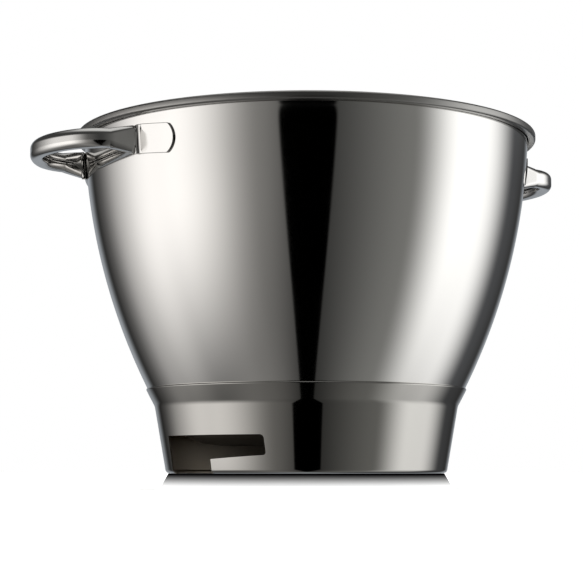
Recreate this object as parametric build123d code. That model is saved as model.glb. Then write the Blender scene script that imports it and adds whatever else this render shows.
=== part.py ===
"""Stainless steel bowl of a large stand mixer, with two loop handles and a bayonet base ring.

Millimetres and degrees. The origin is the centre of the base on the table, +Z is up
and the two handles lie along X. Four pressed and rolled pieces are spot welded together.
"""
import os
from math import asin, atan2, cos, degrees, pi, radians, sin, sqrt, tan

from build123d import *

# Bowl, one deep drawn sheet
rim_radius = 133.0            # outermost edge of the rolled rim
bowl_height = 194.0           # table to the top of the rim
bowl_sheet = 0.9
wall_curve_radius = 352.0     # long outward curve of the wall, outer face
wall_upright_height = 206.8   # height at which that curve would stand upright
bottom_height = 16.0          # table to the underside of the flat bottom
bottom_corner_radius = 40.0   # outer radius between the bottom and the wall

# Rolled rim, turned outward and down
roll_width = 5.3
roll_height = 4.3
roll_end_gap = 0.45           # crevice left between the rolled edge and the wall

# Base ring, rolled sheet welded round the lower wall
skirt_sheet = 1.0
skirt_bend_height = 38.0      # where the ring leaves the wall
skirt_hug_height = 9.8        # how far the ring lies on the wall above that
skirt_bend_radius = 8.0
skirt_taper = 10.0            # lean of the ring below that, in degrees
foot_turn_radius = 2.5        # outer radius of the turned-in foot
foot_lip = 1.2                # flat lip past that turn
skirt_edge_rounding = 0.7     # top edge, polished over

# Bayonet slots, L shaped, each with a ramp that draws the bowl down
slot_count = 2
slot_middle_angle = 203.2     # middle of the first slot, anticlockwise from +X
slot_half_span = 25.7         # half of the angle that a slot spans
slot_entry_span = 27.3        # angle of the arm that opens downward
slot_top_height = 20.7
slot_ramp_start_height = 7.7
slot_ramp_end_height = 9.8
slot_top_radius = 2.0
slot_ramp_radius = 1.6

# Loop handles, each a pressed strip with its edges rolled in to a seam
handle_sheet = 1.3
handle_drop = 17.5            # top of the rim down to the middle of the loop
loop_reach = 36.4             # wall to the outermost point of the loop
handle_half_width = 45.1      # middle of the handle to each fold
loop_bar_radius = 56.0        # outer face of the outer bar, seen from above
loop_corner_radius = 28.0
loop_splay = 5.0              # lean of each leg toward the middle, going outward
loop_section_height = 11.0
loop_section_depth = 7.6
loop_seam_gap = 0.7
flare_length = 14.0           # along the leg, from the flat strip to the full section
seam_opening_length = 6.0     # along the leg, where the rolled edges part in a V
tab_height = 15.7
tab_length = 23.0
tab_end_radius = 9.8
tab_fold_radius = 2.0         # inside the fold between tab and leg
rolled_width = 4.2            # width of each edge of the strip that starts to roll at the fold
right_handle_turn = 3.3       # how far past opposite the left one it is welded on, in degrees

# The wall's outer face, as an arc in the plane of radius and height
roll_middle_radius = rim_radius - roll_width / 2
roll_middle_height = bowl_height - roll_height / 2
wall_top_radius = rim_radius - roll_width + bowl_sheet
wall_rise_to_upright = wall_upright_height - roll_middle_height
wall_curve_middle = wall_top_radius - sqrt(wall_curve_radius**2 - wall_rise_to_upright**2)
handle_height = bowl_height - handle_drop
skirt_top_height = skirt_bend_height + skirt_hug_height


def wall_radius(height, outward=0.0):
    """Radius of the wall's outer face at a height, or of a face lying further outward."""
    reach = wall_curve_radius + outward
    return wall_curve_middle + sqrt(reach**2 - (wall_upright_height - height) ** 2)


def wall_arc(start, end, outward=0.0):
    """Arc of the wall from one height to another, as radius and height."""
    heights = (start, (start + end) / 2, end)
    return ThreePointArc(*[(wall_radius(height, outward), height) for height in heights])


def skirt_foot_radius():
    """Outer radius of the base ring at the table, before its foot is rounded."""
    drop = skirt_bend_height * tan(radians(skirt_taper))
    return wall_radius(skirt_bend_height, skirt_sheet) - drop


def spun(section, span=360.0):
    """Turn a section, drawn as radius and height, about the bowl's axis from the XZ plane."""
    return revolve(Plane.XZ * section, Axis.Z, span)


def nearest_vertex(shape, point):
    return shape.vertices().sort_by_distance((*point, 0))[0]


# Bowl shell


def corner_arc_points(inset):
    """Start, middle and end of the arc from the wall to the bottom, inset from the outer face."""
    height = bottom_height + bottom_corner_radius
    between = wall_curve_radius - bottom_corner_radius
    drop = wall_upright_height - height
    radius = wall_curve_middle + sqrt(between**2 - drop**2)
    start = -asin(drop / between)
    size = bottom_corner_radius - inset
    turns = (start, (start - pi / 2) / 2, -pi / 2)
    return [(radius + size * cos(turn), height + size * sin(turn)) for turn in turns]


def bowl_body_section():
    """Wall, corner and flat bottom, up to the middle of the rolled rim."""
    outer = corner_arc_points(0.0)
    inner = corner_arc_points(bowl_sheet)
    floor_height = bottom_height + bowl_sheet
    return make_face(
        [
            wall_arc(roll_middle_height, outer[0][1]),
            ThreePointArc(*outer),
            Polyline(outer[2], (0, bottom_height), (0, floor_height), inner[2]),
            ThreePointArc(*inner),
            wall_arc(inner[0][1], roll_middle_height, -bowl_sheet),
            Line(
                (wall_radius(roll_middle_height, -bowl_sheet), roll_middle_height),
                (wall_radius(roll_middle_height), roll_middle_height),
            ),
        ]
    )


def rolled_rim_section():
    """Edge of the sheet, rolled outward and down until it nearly meets the wall."""
    ring = SlotOverall(roll_width, roll_height)
    ring -= SlotOverall(roll_width - 2 * bowl_sheet, roll_height - 2 * bowl_sheet)
    crevice = Rectangle(bowl_sheet + roll_end_gap, roll_height, align=(Align.MIN, Align.MAX))
    ring -= Pos(-roll_width / 2, 0) * crevice
    return Pos(roll_middle_radius, roll_middle_height) * ring


def make_bowl_shell():
    return spun(bowl_body_section() + rolled_rim_section())


# Base ring


def skirt_section():
    """Ring from its top edge on the wall, down a soft bend and a taper, to the turned-in foot."""
    bend = (wall_radius(skirt_bend_height, skirt_sheet), skirt_bend_height)
    foot = (skirt_foot_radius(), 0)
    lip = (foot[0] - foot_turn_radius - foot_lip, 0)
    hug = wall_arc(skirt_top_height, skirt_bend_height, skirt_sheet)
    outer = Wire([hug, Line(bend, foot), Line(foot, lip)])
    outer = outer.fillet_2d(skirt_bend_radius, [nearest_vertex(outer, bend)])
    outer = outer.fillet_2d(foot_turn_radius, [nearest_vertex(outer, foot)])
    strip = make_face(outer.offset_2d(skirt_sheet, side=Side.RIGHT, closed=True))
    top_edge = (wall_radius(skirt_top_height, skirt_sheet), skirt_top_height)
    return fillet(nearest_vertex(strip, top_edge), skirt_edge_rounding)


def slot_cutter():
    """Block with the outline of one slot, standing across the ring on the +X side."""
    ring_radius = skirt_foot_radius() + slot_top_height / 2 * tan(radians(skirt_taper))
    entry_end_angle = radians(slot_entry_span - slot_half_span)
    half_width = ring_radius * sin(radians(slot_half_span))
    entry_end = ring_radius * sin(entry_end_angle)
    closed_top = (half_width, slot_top_height)
    closed_low = (half_width, slot_ramp_end_height)
    below = -skirt_sheet
    outline = Polyline(
        (-half_width, below),
        (-half_width, slot_top_height),
        closed_top,
        closed_low,
        (entry_end, slot_ramp_start_height),
        (entry_end, below),
        close=True,
    )
    face = make_face(outline)
    face = fillet(nearest_vertex(face, closed_top), slot_top_radius)
    face = fillet(nearest_vertex(face, closed_low), slot_ramp_radius)
    facing = Plane(origin=(ring_radius / 2, 0, 0), x_dir=(0, 1, 0), z_dir=(1, 0, 0))
    return extrude(facing * face, ring_radius)


def make_base_skirt():
    ring = spun(skirt_section())
    for number in range(slot_count):
        angle = slot_middle_angle + number * 360 / slot_count
        ring -= Rot(0, 0, angle) * slot_cutter()
    return ring


# Handles. One half is made on the +X side, at positive Y, then mirrored


class LoopPlan:
    """Where one half of the loop runs, seen from above, on the strip's outer face."""

    def __init__(self):
        tab_radius = wall_radius(handle_height) + handle_sheet
        half_angle = asin(handle_half_width / tab_radius)
        splay = radians(loop_splay)
        self.travel = Vector(cos(splay), -sin(splay))
        self.outward = Vector(sin(splay), cos(splay))
        crease = Vector(cos(half_angle), sin(half_angle)) * tab_radius
        self.bar_middle = Vector(wall_radius(handle_height) + loop_reach - loop_bar_radius, 0)
        self.corner_middle = self.ahead_of(
            crease - self.outward * loop_corner_radius,
            self.bar_middle,
            loop_bar_radius - loop_corner_radius,
        )
        self.leg_end = self.corner_middle + self.outward * loop_corner_radius
        self.fold = self.ahead_of(
            crease + self.outward * tab_fold_radius, Vector(0, 0), tab_radius + tab_fold_radius
        )
        self.leg_start = self.fold - self.outward * tab_fold_radius
        self.leg_length = (self.leg_end - self.leg_start).length
        self.fold_angle = degrees(atan2(self.fold.Y, self.fold.X))
        bar_start = self.corner_middle - self.bar_middle
        self.bar_angle = degrees(atan2(bar_start.Y, bar_start.X))
        self.corner_angle = 90 - loop_splay - self.bar_angle

    def ahead_of(self, start, middle, distance):
        """Point ahead of the start, in the leg's direction, at a distance from the middle."""
        gap = start - middle
        ahead = gap.dot(self.travel)
        return start + self.travel * (sqrt(ahead**2 - gap.dot(gap) + distance**2) - ahead)

    def section_plane(self, run):
        """Plane across the strip at a run from the fold, past the leg on the corner's arc."""
        past = max(run - self.leg_length, 0.0)
        turn = -degrees(past / loop_corner_radius)
        spot = self.leg_start + self.travel * min(run, self.leg_length)
        if past:
            spot = self.corner_middle + self.outward.rotate(Axis.Z, turn) * loop_corner_radius
        return Plane(
            origin=(spot.X, spot.Y, handle_height),
            x_dir=-self.outward.rotate(Axis.Z, turn),
            z_dir=self.travel.rotate(Axis.Z, turn),
        )


def wall_lean():
    """Angle of the wall from upright at the handles, in radians."""
    return asin((wall_upright_height - handle_height) / wall_curve_radius)


def make_tab(plan):
    """Flat end of the strip, laid on the wall from the fold to its rounded end."""
    span = 1.2 * degrees(tab_length / wall_radius(handle_height))
    on_wall = Location((wall_radius(handle_height), handle_height), -degrees(wall_lean()))
    band = on_wall * Rectangle(handle_sheet, 2 * tab_height, align=(Align.MIN, Align.CENTER))
    laid = Rot(0, 0, plan.fold_angle) * spun(band, span)
    bulge = tab_end_radius - sqrt(tab_end_radius**2 - (tab_height / 2) ** 2)
    top, side = tab_height / 2, tab_length - bulge
    outline = make_face(
        [
            Polyline((side, -top), (-tab_length, -top), (-tab_length, top), (side, top)),
            ThreePointArc((side, top), (tab_length, 0), (side, -top)),
        ]
    )
    facing_angle = radians(plan.fold_angle + span / 2)
    away = Vector(cos(facing_angle), sin(facing_angle))
    foot = plan.fold.normalized() * wall_radius(handle_height)
    facing = Plane(
        origin=(foot.X, foot.Y, handle_height), x_dir=Vector(-away.Y, away.X), z_dir=away
    )
    stamp = facing * Rot(0, 0, -degrees(wall_lean())) * outline
    return laid & extrude(stamp, tab_length, both=True)


def make_fold(plan, tab):
    """Bend from the tab to the leg, about a line that leans with the wall."""
    away = plan.fold.normalized()
    lean = wall_lean()
    line = Axis(
        (plan.fold.X, plan.fold.Y, handle_height),
        (away.X * sin(lean), away.Y * sin(lean), cos(lean)),
    )
    start = face_nearest(tab, plan.fold - away * (tab_fold_radius + handle_sheet / 2))
    opening = radians(90 - loop_splay - plan.fold_angle)
    return revolve(start, line, degrees(atan2(cos(lean) * sin(opening), cos(opening))))


def face_nearest(solid, point):
    """Face whose middle is nearest to a point at the handle's height."""
    target = Vector(point.X, point.Y, handle_height)
    return min(solid.faces(), key=lambda face: (face.center() - target).length)


def half_skin(depth, straight, rolled, turn, flap):
    """One skin of half the strip: end of its flat, middle and end of its roll, and its tip."""
    if turn:
        middle = handle_sheet / 2 + rolled / turn
        radius = middle - depth
        spots = [
            (middle - radius * cos(part), straight + radius * sin(part))
            for part in (0.0, turn / 2, turn)
        ]
    else:
        spots = [(depth, straight + rolled * share) for share in (0.0, 0.5, 1.0)]
    side, up = spots[-1]
    return spots + [(side + flap * sin(turn), up + flap * cos(turn))]


def strip_section(height, rolled, turn, flap):
    """Cross section of the strip, its outer face at zero and its depth along X.

    Each edge rolls over its rolled width, measured at mid sheet, through a turn in
    radians, and ends in a flat flap. The height is taken over everything.
    """
    top = flap * cos(turn) + rolled
    if turn:
        rise = sin(min(turn, pi / 2))
        top = (rolled / turn + handle_sheet / 2) * rise + flap * max(cos(turn), 0)
    straight = height / 2 - top
    edges = []
    ends = []
    for depth in (0.0, handle_sheet):
        start, middle, end, tip = half_skin(depth, straight, rolled, turn, flap)
        for side in (1, -1):
            spots = [(x, side * y) for x, y in (start, middle, end, tip)]
            edges.append(ThreePointArc(*spots[:3]) if turn else Line(spots[0], spots[2]))
            edges.append(Line(spots[2], spots[3]))
            ends.append(spots[3])
        edges.append(Line((start[0], -start[1]), start))
    edges.append(Line(ends[0], ends[2]))
    edges.append(Line(ends[1], ends[3]))
    return make_face(edges)


def leg_start_plane(plan, fold):
    """Plane of the fold's far end, its origin on the strip's outer face."""
    end = face_nearest(fold, plan.leg_start - plan.outward * handle_sheet / 2)
    short_edge = end.edges().sort_by(SortBy.LENGTH)[0]
    inward = short_edge.position_at(1) - short_edge.position_at(0)
    if inward.dot(plan.outward) > 0:
        inward = -inward
    return Plane(origin=end.center() - inward / 2, x_dir=inward, z_dir=end.normal_at())


def leg_sections(plan, fold):
    """Sections along the leg, from the flat strip at the fold to the loop's full section."""
    tight = handle_sheet
    full = (loop_section_depth - handle_sheet) / 2
    short_flap = handle_sheet / 4

    def height_at(run):
        return tab_height + (loop_section_height - tab_height) * run / flare_length

    flat = strip_section(tab_height, rolled_width, 0.0, short_flap)
    half_open_run = seam_opening_length / 2
    half_open = strip_section(height_at(half_open_run), rolled_width, pi / 2, 2 * short_flap)
    sections = [
        leg_start_plane(plan, fold) * flat,
        plan.section_plane(half_open_run) * half_open,
    ]
    for share in (0.0, 0.5, 1.0):
        run = seam_opening_length + (flare_length - seam_opening_length) * share
        height = height_at(run)
        bend = tight + (full - tight) * share
        flap = height / 2 - bend - handle_sheet / 2 - loop_seam_gap / 2
        section = strip_section(height, pi * bend, pi, flap)
        sections.append(plan.section_plane(run) * section)
    return sections


def upright_axis(point):
    return Axis((point.X, point.Y, 0), (0, 0, 1))


def turned_about(point, angle):
    """Location that turns what it is given about an upright line through a point."""
    return Pos(point.X, point.Y) * Rot(0, 0, angle) * Pos(-point.X, -point.Y)


def make_handle():
    """Whole strip: tab, fold, opening leg and corner on each side, and the bar between."""
    plan = LoopPlan()
    tab = make_tab(plan)
    fold = make_fold(plan, tab)
    sections = leg_sections(plan, fold)
    corner_turned = degrees((flare_length - plan.leg_length) / loop_corner_radius)
    corner_left = plan.corner_angle - corner_turned
    corner = revolve(sections[-1], upright_axis(plan.corner_middle), -corner_left)
    side = tab + fold + loft(sections, ruled=True) + corner
    bar_start = turned_about(plan.corner_middle, -corner_left) * sections[-1]
    bar = revolve(bar_start, upright_axis(plan.bar_middle), -2 * plan.bar_angle)
    return side + bar + side.mirror(Plane.XZ)


os.makedirs("parts", exist_ok=True)
handle = make_handle()
nodes = {
    "bowl_shell": make_bowl_shell(),
    "base_skirt": make_base_skirt(),
    "left_handle": Rot(0, 0, 180) * handle,
    "right_handle": Rot(0, 0, right_handle_turn) * handle,
}
for name, solid in nodes.items():
    export_step(solid, f"parts/{name}.step")
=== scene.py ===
"""Polished steel stand mixer bowl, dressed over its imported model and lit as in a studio.

Everything is in metres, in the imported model's frame. The bowl's axis is Z, the handles lie
along X, the right one turned slightly, and the table is at zero.
"""
import math

import bmesh
import bpy
from bpy.props import FloatProperty, FloatVectorProperty, IntProperty, PointerProperty
from mathutils import Matrix, Vector


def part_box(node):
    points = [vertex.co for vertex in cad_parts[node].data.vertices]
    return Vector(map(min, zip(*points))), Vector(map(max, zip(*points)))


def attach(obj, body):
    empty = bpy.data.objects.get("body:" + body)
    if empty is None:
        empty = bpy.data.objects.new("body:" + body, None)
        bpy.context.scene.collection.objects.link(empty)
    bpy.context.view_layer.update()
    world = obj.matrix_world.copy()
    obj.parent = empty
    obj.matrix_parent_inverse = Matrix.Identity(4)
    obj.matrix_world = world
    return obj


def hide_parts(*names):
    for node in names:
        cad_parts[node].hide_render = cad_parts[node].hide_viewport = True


bl_info = {
    "name": "Mixer Bowl Studio",
    "version": (1, 0, 0),
    "blender": (4, 5, 0),
    "location": "3D View > Sidebar > Mixer Bowl",
    "description": "Shapes the bowl, its base ring and its handles, and sets up the studio",
    "category": "Object",
}

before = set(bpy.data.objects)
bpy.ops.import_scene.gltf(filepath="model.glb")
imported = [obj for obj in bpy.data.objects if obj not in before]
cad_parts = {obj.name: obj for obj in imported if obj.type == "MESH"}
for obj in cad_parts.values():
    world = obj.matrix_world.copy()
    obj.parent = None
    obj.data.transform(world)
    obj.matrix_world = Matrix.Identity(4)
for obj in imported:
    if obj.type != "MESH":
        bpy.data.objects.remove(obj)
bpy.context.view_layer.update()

MM = 0.001
QUARTER = math.pi / 2
SHELL_LOW, SHELL_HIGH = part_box("bowl_shell")
HANDLE_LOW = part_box("left_handle")[0]

# Meshes
FINE_MERGE = 1e-7
COARSE_MERGE = 1e-6
SHARP_ANGLE = math.radians(35)
CUT_ANGLE = math.radians(60)
POLISHED_ANGLE = math.radians(50)
CUTTER_DEPTH = 2 * MM  # how far a slot's cutter reaches below the table
ROLL_INSET = 0.2 * MM  # how far outside the wall's face the roll's finish starts
ROLL_SLACK = 0.1 * MM  # below the roll's lowest point
FACING_IN = -0.3  # how far a face of the ring looks inward where it counts as inside

# Handle
FACE_STEPS, ROLL_STEPS, FLAP_STEPS, EDGE_STEPS = 5, 16, 3, 4
TAB_STEPS, FOLD_STEPS, OPENING_STEPS, FLARE_STEPS, LOOP_STEPS = 36, 10, 30, 24, 150
TAB_FACING = 0.6  # share of the tab's length where the wall faces the way the tab is laid on
TIP_HEIGHT = 0.02 * MM  # least height of the tab's round end
NO_TURN = 1e-4  # an edge turned less than this, in radians, is flat

# Steel
LINE_STRETCH = (6, 6, 900)  # the buffing lines run long round the bowl and fine upward
LINE_SCALE, LINE_DETAIL, LINE_DEPTH = 4.0, 3.0, 0.05 * MM
HAZE_SCALE, HAZE_DETAIL, HAZE_START, HAZE_END = 18.0, 4.0, 0.35, 0.75

# Studio
LIGHT_MAP_SIZE = 1024
STAGE_STEPS = 128
PAINT_ROUGHNESS, SHADE_DISC_ROUGHNESS = 0.9, 0.8
SHADE_GLOW = 0.8  # light that the stand's side gives off where its shade has faded
STAND_SHARE = 0.99  # of the stand's height, so its underside clears the floor
STAND_TOP, SHADE_DISC_TOP, SHADE_TOP = -0.05 * MM, -0.02 * MM, -0.4 * MM


# Settings


def length(name, description, default):
    return FloatProperty(name=name, description=description, default=default, min=0.0, unit="LENGTH")


def angle(name, description, default):
    radians = math.radians(default)
    return FloatProperty(name=name, description=description, default=radians, subtype="ANGLE")


def colour(name, description, default):
    return FloatVectorProperty(
        name=name, description=description, default=default, min=0.0, max=1.0, subtype="COLOR"
    )


class BowlShellSettings(bpy.types.PropertyGroup):
    rim_radius: length("Rim radius", "Axis to the rim's outermost edge", SHELL_HIGH[0])
    rim_height: length("Rim height", "Table to the top of the rim", SHELL_HIGH[2])
    bottom_height: length("Bottom height", "Table to the underside of the bottom", SHELL_LOW[2])
    sheet: length("Sheet", "Thickness of the bowl's sheet", 0.9 * MM)
    curve_radius: length("Wall curve", "Radius of the wall's long outward curve", 352 * MM)
    upright_height: length("Upright height", "Where that curve would stand upright", 206.8 * MM)
    corner_radius: length("Corner radius", "Between the bottom and the wall", 40 * MM)
    roll_width: length("Roll width", "Width of the rolled rim", 5.3 * MM)
    roll_height: length("Roll height", "Height of the rolled rim", 4.3 * MM)
    roll_gap: length("Roll gap", "Crevice between the rolled edge and the wall", 0.45 * MM)
    roll_corner: length("Roll corner", "Outer radius of the roll's pressed corners", 1.3 * MM)
    steps: IntProperty(
        name="Steps", description="Faces round the bowl", default=400, min=32, max=512
    )


class BaseSkirtSettings(bpy.types.PropertyGroup):
    sheet: length("Sheet", "Thickness of the base ring", 1.0 * MM)
    bend_height: length("Bend height", "Where the ring leaves the wall", 38 * MM)
    hug_height: length("Hug height", "How far the ring lies on the wall above that", 9.8 * MM)
    bend_radius: length("Bend radius", "Outer radius of the soft bend", 8 * MM)
    taper: angle("Taper", "Lean of the ring below the bend", 10.0)
    foot_radius: length("Foot turn", "Outer radius of the turned-in foot", 2.5 * MM)
    foot_lip: length("Foot lip", "Flat lip past that turn", 1.2 * MM)
    edge_rounding: length("Edge rounding", "Rounding of the top edge", 0.7 * MM)
    slot_count: IntProperty(name="Slots", description="Bayonet slots", default=2, min=1, max=4)
    slot_middle: angle("Slot middle", "Middle of the first slot, from +X", 203.2)
    slot_half_span: angle("Slot half span", "Half of the angle a slot spans", 25.7)
    slot_entry_span: angle("Entry span", "Angle of the arm that opens downward", 27.3)
    slot_top: length("Slot top", "Height of the slot's top edge", 20.7 * MM)
    ramp_start: length("Ramp start", "Height of the ramp at the entry", 7.7 * MM)
    ramp_end: length("Ramp end", "Height of the ramp at the closed end", 9.8 * MM)
    slot_top_radius: length("Top corner", "Radius of the closed end's top corner", 2.0 * MM)
    slot_ramp_radius: length("Ramp corner", "Radius of the closed end's lower corner", 1.6 * MM)
    slot_rounding: length("Slot rounding", "Polished rounding of the slot's edges", 0.22 * MM)


class HandleSettings(bpy.types.PropertyGroup):
    sheet: length("Sheet", "Thickness of the handle's strip", 1.3 * MM)
    drop: length("Drop", "Top of the rim down to the middle of the loop", 17.5 * MM)
    reach: length("Reach", "Axis to the outermost point of the loop", -HANDLE_LOW[0])
    half_width: length("Half width", "Middle of the handle to each fold", 45.1 * MM)
    bar_radius: length("Bar radius", "Outer face of the bar, seen from above", 56 * MM)
    corner_radius: length("Corner radius", "Outer face of each corner", 28 * MM)
    splay: angle("Splay", "Lean of each leg toward the middle", 5.0)
    loop_height: length("Loop height", "Height of the loop's section", 11 * MM)
    loop_depth: length("Loop depth", "Depth of the loop's section", 7.6 * MM)
    seam_gap: length("Seam gap", "Gap between the rolled edges", 0.7 * MM)
    flare: length("Flare", "Leg's length from the flat strip to the full section", 14 * MM)
    opening: length("Opening", "Leg's length over which the seam opens in a V", 6 * MM)
    curl: length("Curl", "Leg's length over which the edges curl over", 2.2 * MM)
    tab_height: length("Tab height", "Height of the flat tab", 15.7 * MM)
    tab_length: length("Tab length", "From the fold to the tab's round end", 23 * MM)
    tab_end_radius: length("Tab end", "Radius of the tab's round end", 9.8 * MM)
    fold_radius: length("Fold radius", "Inside the fold between tab and leg", 2.0 * MM)
    rolled_width: length("Rolled width", "Part of each edge that rolls first", 4.2 * MM)
    edge_rounding: length("Edge rounding", "Polished rounding of the strip's edges", 0.3 * MM)
    right_turn: angle("Right turn", "How far past opposite the right handle is welded on", 3.3)


class SteelSettings(bpy.types.PropertyGroup):
    tint: colour("Tint", "Colour of the polished steel", (0.80, 0.79, 0.775))
    # The base ring's darker steel is painted shade, standing in for the shaded table that the ring
    # mirrors.
    ring_shade_tint: colour("Ring tint", "Colour of the base ring's steel", (0.49, 0.48, 0.46))
    # The rolled rim's darker steel is painted shade, standing in for the darker reflection the roll
    # shows.
    roll_shade_tint: colour("Roll tint", "Colour of the rolled rim", (0.38, 0.375, 0.365))
    inside_tint: colour("Inside tint", "Colour of the raw steel inside the ring", (0.48, 0.43, 0.36))
    roll_roughness: FloatProperty(
        name="Roll roughness", description="Roughness of the rolled rim", default=0.3, min=0.0
    )
    strip_roughness: FloatProperty(
        name="Strip roughness", description="Roughness of the handles", default=0.09, min=0.0
    )
    inside_roughness: FloatProperty(
        name="Inside roughness", description="Roughness inside the ring", default=0.45, min=0.0
    )
    roughness: FloatProperty(
        name="Roughness", description="Roughness of the polish", default=0.045, min=0.0, max=1.0
    )
    haze: FloatProperty(
        name="Haze", description="How much roughness the hazy patches add", default=0.03, min=0.0
    )
    buffing: FloatProperty(
        name="Buffing", description="Depth of the fine buffing lines", default=0.02, min=0.0
    )


class StudioSettings(bpy.types.PropertyGroup):
    camera_bearing: angle("Camera bearing", "From straight in front toward the left handle", 26.0)
    camera_distance: length("Camera distance", "Bowl's axis to the camera", 0.98607)
    camera_height: length("Camera height", "Camera above the table", 1.5 * MM)
    camera_tilt: angle("Camera tilt", "Upward", 5.983)
    camera_turn: angle("Camera turn", "Away from the axis, to the left", 0.492)
    view_angle: angle("View angle", "Width of the picture", 19.355)
    floor_size: length("Floor size", "Width of the floor", 12.0)
    stand_radius: length("Stand radius", "Top of the low stand under the foot", 79 * MM)
    stand_slope: length("Stand slope", "How far the stand's side runs outward", 5 * MM)
    stand_height: length("Stand height", "Of the low stand under the foot", 9 * MM)
    shadow_height: length("Shade height", "Over which the stand's shade fades out", 12.5 * MM)
    sun_strength: FloatProperty(
        name="Sun strength", description="Strength of the light above", default=6.0, min=0.0
    )
    sun_width: angle("Sun width", "Width of the light above, seen from the floor", 100.0)
    # The dark disc inside the foot is painted shade, for the floor the bowl shades.
    shade_disc_radius: length("Ground radius", "Dark ground inside the foot", 77 * MM)
    shade_disc_colour: colour("Ground colour", "Dark ground inside the foot", (0.022, 0.02, 0.016))
    floor_colour: colour("Floor colour", "Paint of the floor", (0.9, 0.9, 0.9))


# Outlines


def wall_middle(shell):
    """Middle of the wall's long curve, as radius and height."""
    height = shell.rim_height - shell.roll_height / 2
    radius = shell.rim_radius - shell.roll_width + shell.sheet
    rise = shell.upright_height - height
    return Vector((radius - math.sqrt(shell.curve_radius**2 - rise**2), shell.upright_height))


def wall_radius(shell, height, outward=0.0):
    """Radius of the wall's outer face at a height, or of a face lying further outward."""
    middle = wall_middle(shell)
    reach = shell.curve_radius + outward
    return middle.x + math.sqrt(reach**2 - (middle.y - height) ** 2)


def arc(middle, radius, start, end, steps):
    """Points of an arc, its angles in radians from the outward direction."""
    return [
        Vector(
            (
                middle[0] + radius * math.cos(start + (end - start) * i / steps),
                middle[1] + radius * math.sin(start + (end - start) * i / steps),
            )
        )
        for i in range(steps + 1)
    ]


def ahead_of(start, direction, middle, distance, first=False):
    """Point ahead of the start, in a unit direction, at a distance from the middle."""
    gap = start - middle
    ahead = gap.dot(direction)
    half = math.sqrt(ahead**2 - gap.dot(gap) + distance**2)
    return start + direction * ((-half if first else half) - ahead)


def shell_outline(shell):
    """The bowl's sheet from the middle of the bottom, up the outside, round the roll and back."""
    middle = wall_middle(shell)
    corner_height = shell.bottom_height + shell.corner_radius
    between = shell.curve_radius - shell.corner_radius
    drop = middle.y - corner_height
    corner = Vector((middle.x + math.sqrt(between**2 - drop**2), corner_height))
    wall_start = -math.asin(drop / between)
    half_height = shell.roll_height / 2
    half_flat = (shell.roll_width - shell.roll_height) / 2
    roll = Vector((shell.rim_radius - shell.roll_width / 2, shell.rim_height - half_height))
    wall_end = -math.asin((middle.y - roll.y) / shell.curve_radius)
    inner_radius = half_height - shell.sheet
    lip = shell.roll_width / 2 - half_flat - shell.sheet - shell.roll_gap
    near, far = roll - Vector((half_flat, 0)), roll + Vector((half_flat, 0))
    bend = shell.roll_corner
    outer_x = roll.x + shell.roll_width / 2 - bend
    upper = Vector((outer_x, roll.y + half_height - bend))
    lower = Vector((outer_x, roll.y - half_height + bend))
    points = [Vector((0, shell.bottom_height))]
    points += arc(corner, shell.corner_radius, -QUARTER, wall_start, steps=14)
    points += arc(middle, shell.curve_radius, wall_start, wall_end, steps=36)[1:]
    points += arc(near, inner_radius, 2 * QUARTER, QUARTER, steps=8)[1:]
    points += arc(far, inner_radius, QUARTER, -QUARTER, steps=12)
    points += arc(near, inner_radius, -QUARTER, -QUARTER - math.asin(lip / inner_radius), steps=4)
    points += arc(near, half_height, -QUARTER - math.asin(lip / half_height), -QUARTER, steps=4)
    points += arc(lower, bend, -QUARTER, 0, steps=9)
    points += arc(upper, bend, 0, QUARTER, steps=9)
    points += arc(near, half_height, QUARTER, 2 * QUARTER, steps=10)
    inner_curve = shell.curve_radius - shell.sheet
    points += arc(middle, inner_curve, wall_end, wall_start, steps=24)[1:]
    points += arc(corner, shell.corner_radius - shell.sheet, wall_start, -QUARTER, steps=12)[1:]
    points.append(Vector((0, shell.bottom_height + shell.sheet)))
    return points


def foot_radius(shell, skirt):
    """Outer radius of the base ring at the table, before its foot is rounded."""
    drop = skirt.bend_height * math.tan(skirt.taper)
    return wall_radius(shell, skirt.bend_height, skirt.sheet) - drop


def skirt_outline(shell, skirt):
    """The ring's sheet: down its outer skin, round the foot and up its inner skin."""
    middle = wall_middle(shell)
    sheet = skirt.sheet
    hug = shell.curve_radius + sheet
    along = Vector((math.sin(skirt.taper), math.cos(skirt.taper)))
    away = Vector((along.y, -along.x))
    foot = Vector((foot_radius(shell, skirt), 0))
    start = foot + away * skirt.bend_radius
    bend = ahead_of(start, along, middle, hug + skirt.bend_radius, first=True)
    from_wall = bend - middle
    hug_end = math.atan2(from_wall.y, from_wall.x)
    hug_start = -math.asin((middle.y - skirt.bend_height - skirt.hug_height) / hug)
    turn = skirt.foot_radius
    foot_middle = Vector((foot.x + turn * math.tan(skirt.taper) - turn / along.y, turn))
    lip_radius = foot.x - turn - skirt.foot_lip
    line_turn = math.pi - skirt.taper
    skins = []
    for inset in (0.0, sheet):
        skin = arc(middle, hug - inset, hug_start, hug_end, steps=12)
        bend_start = hug_end + math.pi
        skin += arc(bend, skirt.bend_radius + inset, bend_start, line_turn, steps=10)[1:]
        skin += arc(foot_middle, turn - inset, -skirt.taper, -QUARTER, steps=12)
        skin.append(Vector((lip_radius, inset)))
        skins.append(skin)
    outer, inner = skins
    across = (inner[0] - outer[0]).normalized()
    down = (outer[1] - outer[0]).normalized()
    edge = outer[0] + (across + down) * skirt.edge_rounding
    start = math.atan2(-across.y, -across.x)
    rounded = arc(edge, skirt.edge_rounding, start + QUARTER, start, steps=6)
    return rounded + outer[1:] + inner[::-1]


# Meshes


def linked(name, data):
    """Object in the scene, of a mesh, a light or a camera."""
    thing = bpy.data.objects.new(name, data)
    bpy.context.scene.collection.objects.link(thing)
    return thing


def shade(mesh, sharp_angle):
    """Smooth the mesh but for its sharp edges."""
    mesh.shade_smooth()
    mesh.set_sharp_from_angle(angle=sharp_angle)


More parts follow.
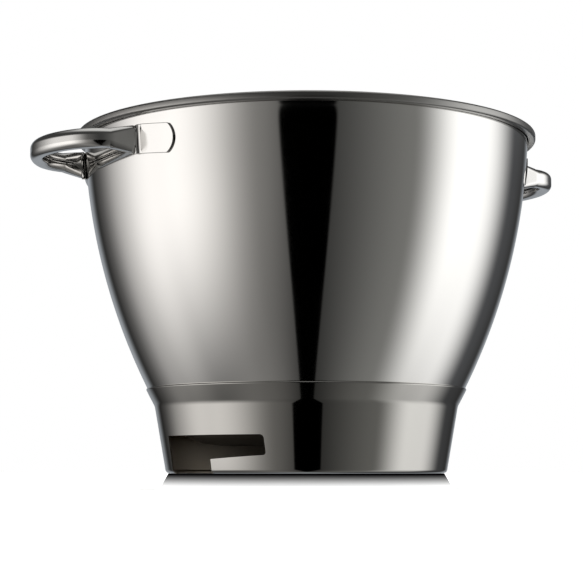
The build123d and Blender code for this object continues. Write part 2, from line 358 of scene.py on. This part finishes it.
def finished(bm, name, merge=FINE_MERGE):
    """Object from a mesh, its doubled points merged and its faces looking outward."""
    bmesh.ops.remove_doubles(bm, verts=bm.verts, dist=merge)
    bmesh.ops.recalc_face_normals(bm, faces=bm.faces)
    mesh = bpy.data.meshes.new(name)
    bm.to_mesh(mesh)
    bm.free()
    shade(mesh, SHARP_ANGLE)
    return linked(name, mesh)


def lathed(points, steps):
    """Outline spun about the bowl's axis; one that starts off the axis is closed first."""
    bm = bmesh.new()
    verts = [bm.verts.new((point.x, 0, point.y)) for point in points]
    edges = [bm.edges.new(pair) for pair in zip(verts, verts[1:])]
    if points[0].x > 0:
        edges.append(bm.edges.new((verts[-1], verts[0])))
    bmesh.ops.spin(
        bm,
        geom=verts + edges,
        cent=(0, 0, 0),
        axis=(0, 0, 1),
        angle=2 * math.pi,
        steps=steps,
        use_merge=True,
    )
    return bm


def slot_cutter(shell, skirt, turn):
    """Closed block with the outline of one slot, standing across the ring."""
    ring = foot_radius(shell, skirt) + skirt.slot_top / 2 * math.tan(skirt.taper)
    side = ring * math.sin(skirt.slot_half_span)
    step = ring * math.sin(skirt.slot_entry_span - skirt.slot_half_span)
    slope = math.atan2(skirt.ramp_end - skirt.ramp_start, side - step)
    top, low = skirt.slot_top_radius, skirt.slot_ramp_radius
    low_y = skirt.ramp_end + low / math.cos(slope) - low * math.tan(slope)
    outline = [(-side, -CUTTER_DEPTH), (-side, skirt.slot_top)]
    outline += arc((side - top, skirt.slot_top - top), top, QUARTER, 0, steps=10)
    outline += arc((side - low, low_y), low, 0, slope - QUARTER, steps=10)
    outline += [(step, skirt.ramp_start), (step, -CUTTER_DEPTH)]
    bm = bmesh.new()
    for reach in (ring / 2, ring * 1.5):
        for y, z in outline:
            bm.verts.new((reach, y, z))
    bm.verts.ensure_lookup_table()
    count = len(outline)
    near, far = bm.verts[:count], bm.verts[count:]
    bm.faces.new(near)
    bm.faces.new(far[::-1])
    for i in range(count):
        j = (i + 1) % count
        bm.faces.new((near[j], near[i], far[i], far[j]))
    bmesh.ops.rotate(bm, verts=bm.verts, cent=(0, 0, 0), matrix=Matrix.Rotation(turn, 3, "Z"))
    bmesh.ops.recalc_face_normals(bm, faces=bm.faces)
    return bm


def cut(piece, cutters):
    """Cut blocks out of a piece, for good; the blocks go when their meshes are removed."""
    tools = []
    for bm in cutters:
        mesh = bpy.data.meshes.new("cutter")
        bm.to_mesh(mesh)
        bm.free()
        tool = linked("cutter", mesh)
        modifier = piece.modifiers.new("cut", "BOOLEAN")
        modifier.operation = "DIFFERENCE"
        modifier.solver = "EXACT"
        modifier.object = tool
        tools.append(tool)
    depsgraph = bpy.context.evaluated_depsgraph_get()
    mesh = bpy.data.meshes.new_from_object(piece.evaluated_get(depsgraph))
    piece.modifiers.clear()
    piece.data = mesh
    mesh.name = piece.name
    shade(mesh, SHARP_ANGLE)
    for tool in tools:
        bpy.data.meshes.remove(tool.data)


def round_edges(piece, width):
    """Polish the piece's cut edges over."""
    bm = bmesh.new()
    bm.from_mesh(piece.data)
    edges = [e for e in bm.edges if e.is_manifold and e.calc_face_angle() > CUT_ANGLE]
    bmesh.ops.bevel(
        bm, geom=edges, offset=width, segments=2, affect="EDGES", clamp_overlap=True
    )
    bm.to_mesh(piece.data)
    bm.free()
    shade(piece.data, POLISHED_ANGLE)


# Handle


class HandlePath:
    """Where one half of the loop runs, seen from above, on the strip's outer face."""

    def __init__(self, shell, handle):
        self.handle = handle
        self.height = shell.rim_height - handle.drop
        self.wall = wall_radius(shell, self.height)
        self.lean = math.asin((shell.upright_height - self.height) / shell.curve_radius)
        tab = self.wall + handle.sheet
        splay = handle.splay
        self.travel = Vector((math.cos(splay), -math.sin(splay), 0))
        self.outward = Vector((math.sin(splay), math.cos(splay), 0))
        half_angle = math.asin(handle.half_width / tab)
        crease = Vector((math.cos(half_angle), math.sin(half_angle), 0)) * tab
        self.bar_middle = Vector((handle.reach - handle.bar_radius, 0, 0))
        self.corner_middle = ahead_of(
            crease - self.outward * handle.corner_radius,
            self.travel,
            self.bar_middle,
            handle.bar_radius - handle.corner_radius,
        )
        self.fold = ahead_of(
            crease + self.outward * handle.fold_radius,
            self.travel,
            Vector((0, 0, 0)),
            tab + handle.fold_radius,
        )
        self.leg_start = self.fold - self.outward * handle.fold_radius
        leg_end = self.corner_middle + self.outward * handle.corner_radius
        self.leg_length = (leg_end - self.leg_start).length
        self.fold_angle = math.atan2(self.fold.y, self.fold.x)
        bar_start = self.corner_middle - self.bar_middle
        self.bar_angle = math.atan2(bar_start.y, bar_start.x)
        self.corner_angle = QUARTER - handle.splay - self.bar_angle
        self.corner_length = self.corner_angle * handle.corner_radius
        self.bar_length = self.bar_angle * handle.bar_radius
        self.length = self.leg_length + self.corner_length + self.bar_length

    def on_loop(self, run, depth, up):
        """Point of the upright strip at a run past the fold."""
        if run <= self.leg_length:
            spot, outward = self.leg_start + self.travel * run, self.outward
        elif run <= self.leg_length + self.corner_length:
            turn = (run - self.leg_length) / self.handle.corner_radius
            outward = Matrix.Rotation(-turn, 3, "Z") @ self.outward
            spot = self.corner_middle + outward * self.handle.corner_radius
        else:
            turn = self.bar_angle
            turn -= (run - self.leg_length - self.corner_length) / self.handle.bar_radius
            outward = Vector((math.cos(turn), math.sin(turn), 0))
            spot = self.bar_middle + outward * self.handle.bar_radius
        return spot - outward * depth + Vector((0, 0, self.height + up))

    def on_tab(self, along, depth, up):
        """Point of the flat tab, along it from the fold, laid on the leaning wall."""
        cos_lean, sin_lean = math.cos(self.lean), math.sin(self.lean)
        side = along * cos_lean + up * sin_lean
        rise = up * cos_lean - along * sin_lean
        facing = self.fold_angle + TAB_FACING * self.handle.tab_length / self.wall
        away = Vector((math.cos(facing), math.sin(facing), 0))
        across = Vector((-away.y, away.x, 0))
        fold = Vector((math.cos(self.fold_angle), math.sin(self.fold_angle), 0))
        spot = fold * self.wall + across * side
        out = (self.handle.sheet - depth) / cos_lean
        radius = self.wall + rise * math.tan(self.lean) + out
        ahead = spot.dot(away)
        spot += away * (math.sqrt(ahead**2 - spot.dot(spot) + radius**2) - ahead)
        return spot + Vector((0, 0, self.height + rise))

    def on_fold(self, share, depth, up):
        """Point of the bend between tab and leg, turned about a line that leans with the wall."""
        away = self.fold.normalized()
        sin_lean, cos_lean = math.sin(self.lean), math.cos(self.lean)
        line = Vector((away.x * sin_lean, away.y * sin_lean, cos_lean))
        opening = QUARTER - self.handle.splay - self.fold_angle
        turn = math.atan2(cos_lean * math.sin(opening), math.cos(opening)) * share
        pivot = self.fold + Vector((0, 0, self.height))
        return pivot + Matrix.Rotation(turn, 3, line) @ (self.on_tab(0, depth, up) - pivot)


def half_section(handle, height, rolled, turn, flap):
    """Outer and inner skin of half the strip, from the middle of its face to its edge."""
    sheet, rounding = handle.sheet, handle.edge_rounding
    top = flap * math.cos(turn) + rolled
    if turn > NO_TURN:
        rise = math.sin(min(turn, QUARTER))
        top = (rolled / turn + sheet / 2) * rise + flap * max(math.cos(turn), 0)
    straight = height / 2 - top
    rows = [(straight * i / FACE_STEPS, 0.0) for i in range(FACE_STEPS + 1)]
    for i in range(1, ROLL_STEPS + 1):
        rows.append((straight + rolled * i / ROLL_STEPS, turn * i / ROLL_STEPS))
    for i in range(1, FLAP_STEPS + 1):
        rows.append((straight + rolled + (flap - rounding) * i / FLAP_STEPS, turn))
    outer, inner = [], []
    for run, facing in rows:
        bent = min(max(run - straight, 0.0), rolled)
        past = max(run - straight - rolled, 0.0)
        bend = rolled / turn if turn > NO_TURN else 0.0
        side = bend * (1 - math.cos(facing)) + past * math.sin(facing)
        up = min(run, straight) + past * math.cos(facing)
        up += bend * math.sin(facing) if bend else bent
        middle = Vector((sheet / 2 + side, up))
        across = Vector((-math.cos(facing), math.sin(facing))) * sheet / 2
        outer.append(middle + across)
        inner.append(middle - across)
    along = Vector((math.sin(turn), math.cos(turn)))
    away = Vector((-along.y, along.x))
    for skin, side in ((outer, away), (inner, -away)):
        start = skin[-1] - side * rounding
        for i in range(1, EDGE_STEPS + 1):
            bend = QUARTER / EDGE_STEPS * i
            skin.append(start + (side * math.cos(bend) + along * math.sin(bend)) * rounding)
    return outer, inner


def section_loop(handle, height, rolled, turn, flap):
    """Closed loop of points round the strip, as depth and height."""
    outer, inner = half_section(handle, height, rolled, turn, flap)
    upper = outer + inner[::-1]
    lower = [Vector((point.x, -point.y)) for point in upper]
    return upper[:-1] + lower[::-1][:-1]


def smooth(share):
    """Share eased in and out, from 0 to 1."""
    share = min(max(share, 0.0), 1.0)
    return share * share * (3 - 2 * share)


def short_flap(handle):
    """Width of the flap past the roll where the strip is still flat."""
    return handle.sheet / 4 + handle.edge_rounding


def loop_section(handle, run):
    """Loop of points for the strip at a run past the fold.

    Its edges curl right over within the first stretch, and their flaps widen up to the seam.
    """
    share = min(run / handle.flare, 1.0)
    height = handle.tab_height + (handle.loop_height - handle.tab_height) * share
    tight, full = handle.sheet, (handle.loop_depth - handle.sheet) / 2
    opened = min(run / handle.opening, 1.0)
    curl = smooth(run / handle.curl)
    bend = tight + (full - tight) * share
    rolled = handle.rolled_width + (math.pi * bend - handle.rolled_width) * curl
    long_flap = height / 2 - bend - handle.sheet / 2 - handle.seam_gap / 2
    flap = short_flap(handle) + (long_flap - short_flap(handle)) * opened
    return section_loop(handle, height, rolled, math.pi * curl, flap)


def steps_between(start, end, steps):
    """Even steps past the start, up to the end itself."""
    return [start + (end - start) * i / steps for i in range(1, steps + 1)]


def handle_mesh(shell, handle, turn):
    """The whole strip, one half swept and then mirrored, turned to its side of the bowl."""
    path = HandlePath(shell, handle)
    flat = section_loop(handle, handle.tab_height, handle.rolled_width, 0.0, short_flap(handle))
    rings = []
    for i in range(TAB_STEPS + 1):
        along = handle.tab_length * math.cos(QUARTER * i / TAB_STEPS)
        past = along - (handle.tab_length - handle.tab_end_radius)
        height = handle.tab_height
        if past > 0:
            height = 2 * math.sqrt(max(handle.tab_end_radius**2 - past**2, 0.0))
            height = min(max(height, TIP_HEIGHT), handle.tab_height)
        share = height / handle.tab_height
        rings.append([path.on_tab(along, p.x, p.y * share) for p in flat])
    for i in range(1, FOLD_STEPS + 1):
        rings.append([path.on_fold(i / FOLD_STEPS, p.x, p.y) for p in flat])
    fold_end = rings[-1]
    runs = steps_between(0, handle.opening, OPENING_STEPS)
    runs += steps_between(handle.opening, handle.flare, FLARE_STEPS)
    runs += steps_between(handle.flare, path.length, LOOP_STEPS)
    tilt = [spot - path.on_loop(0, p.x, p.y) for spot, p in zip(fold_end, flat)]
    for run in runs:
        points = loop_section(handle, run)
        fade = 1 - smooth(run / handle.opening)
        rings.append([path.on_loop(run, p.x, p.y) + t * fade for p, t in zip(points, tilt)])
    bm = bmesh.new()
    rows = [[bm.verts.new(point) for point in ring] for ring in rings]
    for row, following in zip(rows, rows[1:]):
        for i in range(len(row)):
            j = (i + 1) % len(row)
            bm.faces.new((row[i], row[j], following[j], following[i]))
    bm.faces.new(rows[0])
    half = bm.verts[:] + bm.edges[:] + bm.faces[:]
    bmesh.ops.mirror(bm, geom=half, matrix=Matrix.Identity(4), merge_dist=COARSE_MERGE, axis="Y")
    bmesh.ops.rotate(bm, verts=bm.verts, cent=(0, 0, 0), matrix=Matrix.Rotation(turn, 3, "Z"))
    return bm


# Steel


def noise(nodes, scale, detail):
    node = nodes.new("ShaderNodeTexNoise")
    node.inputs["Scale"].default_value = scale
    node.inputs["Detail"].default_value = detail
    return node


def polished_steel(steel, name):
    """Stainless steel for the named part or finish, with faint buffing lines and slightly hazy
    patches; the base ring's and the rolled rim's steel is darkened, a painted shade.
    """
    material = bpy.data.materials.get(name)
    if material:
        return material
    material = bpy.data.materials.new(name)
    material.use_nodes = True
    nodes, links = material.node_tree.nodes, material.node_tree.links
    shader = nodes["Principled BSDF"]
    tints = {
        # painted shade: the base ring is darkened for the shaded table it mirrors
        "ring_painted_shade": steel.ring_shade_tint,
        # painted shade: the rolled rim is darkened for the dark it mirrors
        "rolled_edge": steel.roll_shade_tint,
        "raw_inside": steel.inside_tint,
    }
    polishes = {
        "rolled_edge": steel.roll_roughness,
        "rolled_strip": steel.strip_roughness,
        "raw_inside": steel.inside_roughness,
    }
    roughness = polishes.get(name, steel.roughness)
    shader.inputs["Base Color"].default_value = (*tints.get(name, steel.tint), 1)
    shader.inputs["Metallic"].default_value = 1.0
    place = nodes.new("ShaderNodeTexCoord")
    stretch = nodes.new("ShaderNodeMapping")
    stretch.inputs["Scale"].default_value = LINE_STRETCH
    lines = noise(nodes, LINE_SCALE, LINE_DETAIL)
    haze = noise(nodes, HAZE_SCALE, HAZE_DETAIL)
    spread = nodes.new("ShaderNodeMapRange")
    spread.inputs["From Min"].default_value = HAZE_START
    spread.inputs["From Max"].default_value = HAZE_END
    spread.inputs["To Min"].default_value = roughness
    spread.inputs["To Max"].default_value = roughness + steel.haze
    bump = nodes.new("ShaderNodeBump")
    bump.inputs["Strength"].default_value = steel.buffing
    bump.inputs["Distance"].default_value = LINE_DEPTH
    links.new(place.outputs["Object"], stretch.inputs["Vector"])
    links.new(stretch.outputs["Vector"], lines.inputs["Vector"])
    links.new(place.outputs["Object"], haze.inputs["Vector"])
    links.new(haze.outputs["Fac"], spread.inputs["Value"])
    links.new(spread.outputs["Result"], shader.inputs["Roughness"])
    links.new(lines.outputs["Fac"], bump.inputs["Height"])
    links.new(bump.outputs["Normal"], shader.inputs["Normal"])
    return material


def dress(piece, node, scene, finishes, places=()):
    """Give a piece its steels and let it stand for its node.

    Each place says of a face's middle and normal whether it takes the next finish.
    """
    piece.data.materials.clear()
    for finish in finishes:
        piece.data.materials.append(polished_steel(scene.bowl_steel, finish))
    for face in piece.data.polygons:
        for index, place in enumerate(places, 1):
            if place(face.center, face.normal):
                face.material_index = index
    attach(piece, "root")
    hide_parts(node)


# Studio


class LightField:
    """Nodes of the world's light, as a sum of soft boxes placed by bearing and elevation."""

    def __init__(self, world, bearing):
        world.use_nodes = True
        self.nodes, self.links = world.node_tree.nodes, world.node_tree.links
        self.nodes.clear()
        place = self.nodes.new("ShaderNodeTexCoord")
        turned = self.nodes.new("ShaderNodeVectorRotate")
        turned.rotation_type = "Z_AXIS"
        turned.inputs["Angle"].default_value = bearing
        self.links.new(place.outputs["Generated"], turned.inputs["Vector"])
        parts = self.nodes.new("ShaderNodeSeparateXYZ")
        self.links.new(turned.outputs["Vector"], parts.inputs["Vector"])
        front = self.math("MULTIPLY", parts.outputs["Y"], -1)
        self.bearing = self.math("DEGREES", self.math("ARCTAN2", parts.outputs["X"], front))
        self.elevation = self.math("DEGREES", self.math("ARCSINE", parts.outputs["Z"]))
        self.total = None

    def math(self, operation, *values):
        node = self.nodes.new("ShaderNodeMath")
        node.operation = operation
        for socket, value in zip(node.inputs, values):
            if isinstance(value, (int, float)):
                socket.default_value = value
            else:
                self.links.new(value, socket)
        return node.outputs[0]

    def step(self, value, start, end, low=0.0, high=1.0):
        """Smooth step from low at the start to high at the end."""
        node = self.nodes.new("ShaderNodeMapRange")
        node.interpolation_type = "SMOOTHSTEP"
        self.links.new(value, node.inputs["Value"])
        limits = {"From Min": start, "From Max": end, "To Min": low, "To Max": high}
        for name, number in limits.items():
            node.inputs[name].default_value = number
        return node.outputs["Result"]

    def from_bearing(self, middle):
        """Angle away from a bearing, the short way round."""
        turned = self.math("WRAP", self.math("SUBTRACT", self.bearing, middle), 180, -180)
        return self.math("ABSOLUTE", turned)

    def soft_box(self, bearing, half_width, edge, low, high, colour):
        """Add a box, all in degrees.

        It comes up between the two elevations of low and fades out between those of high.
        """
        shape = self.step(self.from_bearing(bearing), half_width, half_width + edge, 1, 0)
        shape = self.math("MULTIPLY", shape, self.step(self.elevation, *low))
        shape = self.math("MULTIPLY", shape, self.step(self.elevation, *high, 1, 0))
        node = self.nodes.new("ShaderNodeVectorMath")
        node.operation = "SCALE"
        node.inputs[0].default_value = colour
        self.links.new(shape, node.inputs["Scale"])
        self.add(node.outputs[0])

    def add(self, light):
        if self.total is not None:
            node = self.nodes.new("ShaderNodeVectorMath")
            node.operation = "ADD"
            self.links.new(self.total, node.inputs[0])
            self.links.new(light, node.inputs[1])
            light = node.outputs[0]
        self.total = light

    def dark_gap(self, bearing, half_width, narrowing, top, edge):
        """Take away the light in front, where the camera stands between the boxes.

        The half width is the one at the level, and it narrows for each degree further down.
        """
        corner, depth, top_power = 6, 60, 60  # powers and reach that round the gap's corners
        width = self.math("MULTIPLY_ADD", self.elevation, narrowing, half_width)
        side = self.math("DIVIDE", self.from_bearing(bearing), width)
        side = self.math("POWER", side, corner)
        above = self.math("DIVIDE", self.math("ADD", self.elevation, depth), top + depth)
        above = self.math("POWER", self.math("MAXIMUM", above, 0), top_power)
        outside = self.math("POWER", self.math("ADD", side, above), 1 / corner)
        shape = self.step(outside, 1 - edge, 1 + edge)
        node = self.nodes.new("ShaderNodeVectorMath")
        node.operation = "SCALE"
        self.links.new(self.total, node.inputs[0])
        self.links.new(shape, node.inputs["Scale"])
        self.total = node.outputs[0]

    def finish(self):
        """White behind the bowl for the camera, and the boxes for everything else."""
        boxes = self.nodes.new("ShaderNodeBackground")
        self.links.new(self.total, boxes.inputs["Color"])
        white = self.nodes.new("ShaderNodeBackground")
        white.inputs["Color"].default_value = (1, 1, 1, 1)
        seen = self.nodes.new("ShaderNodeLightPath")
        mix = self.nodes.new("ShaderNodeMixShader")
        out = self.nodes.new("ShaderNodeOutputWorld")
        self.links.new(seen.outputs["Is Camera Ray"], mix.inputs["Fac"])
        self.links.new(boxes.outputs[0], mix.inputs[1])
        self.links.new(white.outputs[0], mix.inputs[2])
        self.links.new(mix.outputs[0], out.inputs["Surface"])


def light_studio(studio):
    """Soft boxes all round, described by their bearing from the camera, to its right."""
    world = bpy.data.worlds.new("studio")
    bpy.context.scene.world = world
    field = LightField(world, studio.camera_bearing)
    everywhere, low_left, low_right = (-91, -90), (-46, -6), (-70, -5)
    field.soft_box(
        bearing=0, half_width=180, edge=1,
        low=everywhere, high=(90, 91), colour=(0.03, 0.03, 0.029),
    )
    field.soft_box(
        bearing=-80, half_width=6, edge=51,
        low=low_left, high=(6, 19), colour=(1.10, 1.075, 1.05),
    )
    field.soft_box(
        bearing=-80, half_width=6, edge=51,
        low=everywhere, high=(6, 19), colour=(0.12, 0.118, 0.115),
    )
    field.soft_box(
        bearing=-38, half_width=4, edge=40,
        low=low_left, high=(6, 14), colour=(0.08, 0.078, 0.074),
    )
    field.soft_box(
        bearing=-38, half_width=4, edge=40,
        low=everywhere, high=(6, 14), colour=(0.15, 0.146, 0.14),
    )
    field.soft_box(
        bearing=95, half_width=8, edge=32,
        low=low_right, high=(14, 40), colour=(1.19, 1.19, 1.18),
    )
    field.soft_box(
        bearing=68, half_width=0, edge=70,
        low=everywhere, high=(8, 40), colour=(0.185, 0.185, 0.176),
    )
    field.soft_box(
        bearing=-126, half_width=4, edge=18,
        low=everywhere, high=(6, 19), colour=(0.09, 0.088, 0.087),
    )
    field.soft_box(
        bearing=183, half_width=16, edge=16,
        low=everywhere, high=(12, 30), colour=(0.29, 0.312, 0.338),
    )
    field.soft_box(
        bearing=132, half_width=0, edge=30,
        low=everywhere, high=(12, 30), colour=(0.045, 0.047, 0.052),
    )
    field.dark_gap(bearing=1.0, half_width=14.0, narrowing=0.138, top=6.8, edge=0.06)
    field.soft_box(
        bearing=0, half_width=180, edge=1,
        low=(5, 12), high=(90, 91), colour=(0.018, 0.018, 0.018),
    )
    field.soft_box(
        bearing=0, half_width=180, edge=1,
        low=(38, 70), high=(90, 91), colour=(0.6, 0.6, 0.59),
    )
    field.finish()
    world.cycles.sampling_method = "MANUAL"
    world.cycles.sample_map_resolution = LIGHT_MAP_SIZE


def matt(name, colour, roughness):
    material = bpy.data.materials.new(name)
    material.use_nodes = True
    shader = material.node_tree.nodes["Principled BSDF"]
    shader.inputs["Base Color"].default_value = (*colour, 1)
    shader.inputs["Roughness"].default_value = roughness
    return material


def white_paint(studio, name, top=None):
    """Matt white paint; given a height, it is a painted shadow from there down, turning from black
    to white, and it glows more as it whitens, a painted light.
    """
    paint = matt(name, studio.floor_colour, PAINT_ROUGHNESS)
    nodes, links = paint.node_tree.nodes, paint.node_tree.links
    shader = nodes["Principled BSDF"]
    shader.inputs["Specular IOR Level"].default_value = 0.0
    if top is not None:
        place = nodes.new("ShaderNodeTexCoord")
        parts = nodes.new("ShaderNodeSeparateXYZ")
        fade = nodes.new("ShaderNodeMapRange")
        fade.interpolation_type = "SMOOTHSTEP"
        fade.inputs["From Min"].default_value = top
        fade.inputs["From Max"].default_value = top - studio.shadow_height
        links.new(place.outputs["Object"], parts.inputs["Vector"])
        links.new(parts.outputs["Z"], fade.inputs["Value"])
        links.new(fade.outputs["Result"], shader.inputs["Base Color"])
        links.new(fade.outputs["Result"], shader.inputs["Emission Color"])
        shader.inputs["Emission Strength"].default_value = SHADE_GLOW
    return paint


def turned_stage(name, points, paint):
    """Round part of the stage, from its outline as radius and height."""
    bm = lathed([Vector(point) for point in points], STAGE_STEPS)
    piece = finished(bm, name, COARSE_MERGE)
    piece.data.materials.append(paint)
    return piece


def lay_floor(studio):
    """Pale floor and low white stand, which the steel doesn't mirror; a painted shadow down the
    stand's side and a dark disc of painted shade inside the foot.
    """
    step, drop = studio.stand_radius, studio.stand_height
    outer = step + studio.stand_slope
    floor = turned_stage(
        "floor",
        [(0, -drop), (outer, -drop), (2 * outer, -drop), (studio.floor_size / 2, -drop)],
        white_paint(studio, "floor_paint"),
    )
    base = -drop * STAND_SHARE
    rise = [(0, base), (outer, base), (step, STAND_TOP), (0, STAND_TOP)]
    # The stand's side carries a painted shadow under the foot and a painted glow below it.
    stand = turned_stage("stand", rise, white_paint(studio, "stand_shadow_paint", SHADE_TOP))
    # Dark disc of painted shade on the floor inside the foot, where the bowl shades it; it is seen
    # through the slots and mirrored by the steel.
    ground = matt("ground", studio.shade_disc_colour, SHADE_DISC_ROUGHNESS)
    disc = [(0, SHADE_DISC_TOP), (studio.shade_disc_radius, SHADE_DISC_TOP)]
    turned_stage("shade_disc_under_bowl", disc, ground)
    for piece in (floor, stand):
        piece.visible_glossy = False
        piece.visible_shadow = False


def place_camera(studio):
    data = bpy.data.cameras.new("camera")
    data.sensor_fit = "HORIZONTAL"
    data.angle = studio.view_angle
    data.clip_start = 0.01
    data.clip_end = 100
    camera = linked("camera", data)
    bearing = studio.camera_bearing
    distance = studio.camera_distance
    camera.location = (
        -distance * math.sin(bearing),
        -distance * math.cos(bearing),
        studio.camera_height,
    )
    turn = studio.camera_turn - bearing
    camera.rotation_euler = (QUARTER + studio.camera_tilt, 0, turn)
    bpy.context.scene.camera = camera


def hang_sun(studio):
    """Broad light from straight above for the floor, which the steel doesn't mirror."""
    data = bpy.data.lights.new("overhead", "SUN")
    data.energy = studio.sun_strength
    data.angle = studio.sun_width
    linked("overhead", data).visible_glossy = False


# Operators


class BOWL_OT_shell(bpy.types.Operator):
    """Lathe the deep bowl with its rolled rim"""

    bl_idname = "bowl.shell"
    bl_label = "Bowl Shell"

    def execute(self, context):
        shell = context.scene.bowl_shell
        piece = finished(lathed(shell_outline(shell), shell.steps), "polished_bowl")
        roll_start = shell.rim_radius - shell.roll_width + shell.sheet + ROLL_INSET
        roll_low = shell.rim_height - shell.roll_height - ROLL_SLACK

        def on_roll(middle, normal):
            return middle.z > roll_low and middle.xy.length > roll_start

        def in_ring(middle, normal):
            return middle.z < context.scene.bowl_skirt.bend_height and normal.z < 0

        # The rolled rim's steel is darkened, a painted shade.
        finishes = ("mirror_steel", "rolled_edge", "raw_inside")
        dress(piece, "bowl_shell", context.scene, finishes, (on_roll, in_ring))
        return {"FINISHED"}


class BOWL_OT_skirt(bpy.types.Operator):
    """Lathe the base ring and cut its bayonet slots"""

    bl_idname = "bowl.skirt"
    bl_label = "Base Ring"

    def execute(self, context):
        shell, skirt = context.scene.bowl_shell, context.scene.bowl_skirt
        piece = finished(lathed(skirt_outline(shell, skirt), shell.steps), "bayonet_ring")
        turns = [
            skirt.slot_middle + 2 * math.pi * i / skirt.slot_count
            for i in range(skirt.slot_count)
        ]
        cut(piece, [slot_cutter(shell, skirt, turn) for turn in turns])
        round_edges(piece, skirt.slot_rounding)

        def inside(middle, normal):
            return normal.xy.dot(middle.xy.normalized()) < FACING_IN

        # The ring's outer steel is darkened, a painted shade; its inward faces take the raw steel.
        dress(piece, "base_skirt", context.scene, ("ring_painted_shade", "raw_inside"), (inside,))
        return {"FINISHED"}


class BOWL_OT_handles(bpy.types.Operator):
    """Sweep the two rolled strip handles"""

    bl_idname = "bowl.handles"
    bl_label = "Handles"

    def execute(self, context):
        shell, handle = context.scene.bowl_shell, context.scene.bowl_handle
        for node, turn in (("left_handle", math.pi), ("right_handle", handle.right_turn)):
            piece = finished(handle_mesh(shell, handle, turn), f"{node}_strip")
            dress(piece, node, context.scene, ("rolled_strip",))
        return {"FINISHED"}


class BOWL_OT_stage(bpy.types.Operator):
    """Set up the floor, the light and the camera"""

    bl_idname = "bowl.stage"
    bl_label = "Studio"

    def execute(self, context):
        studio = context.scene.bowl_studio
        lay_floor(studio)
        light_studio(studio)
        hang_sun(studio)
        place_camera(studio)
        context.scene.view_settings.view_transform = "Standard"
        return {"FINISHED"}


class BOWL_PT_panel(bpy.types.Panel):
    """Buttons and sizes of the mixer bowl"""

    bl_label = "Mixer Bowl"
    bl_idname = "BOWL_PT_panel"
    bl_space_type = "VIEW_3D"
    bl_region_type = "UI"
    bl_category = "Mixer Bowl"

    def draw(self, context):
        layout = self.layout
        for operator in OPERATORS:
            layout.operator(operator.bl_idname)
        for name in SETTINGS:
            box = layout.box()
            settings = getattr(context.scene, name)
            for field in settings.bl_rna.properties.keys():
                if field not in {"rna_type", "name"}:
                    box.prop(settings, field)


SETTINGS = {
    "bowl_shell": BowlShellSettings,
    "bowl_skirt": BaseSkirtSettings,
    "bowl_handle": HandleSettings,
    "bowl_steel": SteelSettings,
    "bowl_studio": StudioSettings,
}
OPERATORS = (BOWL_OT_shell, BOWL_OT_skirt, BOWL_OT_handles, BOWL_OT_stage)


def register():
    for settings in SETTINGS.values():
        bpy.utils.register_class(settings)
    for name, settings in SETTINGS.items():
        setattr(bpy.types.Scene, name, PointerProperty(type=settings))
    for operator in (*OPERATORS, BOWL_PT_panel):
        bpy.utils.register_class(operator)


def unregister():
    for operator in (BOWL_PT_panel, *OPERATORS):
        bpy.utils.unregister_class(operator)
    for name, settings in SETTINGS.items():
        delattr(bpy.types.Scene, name)
        bpy.utils.unregister_class(settings)


def main():
    register()
    bpy.ops.bowl.shell()
    bpy.ops.bowl.skirt()
    bpy.ops.bowl.handles()
    bpy.ops.bowl.stage()


if __name__ == "__main__":
    main()
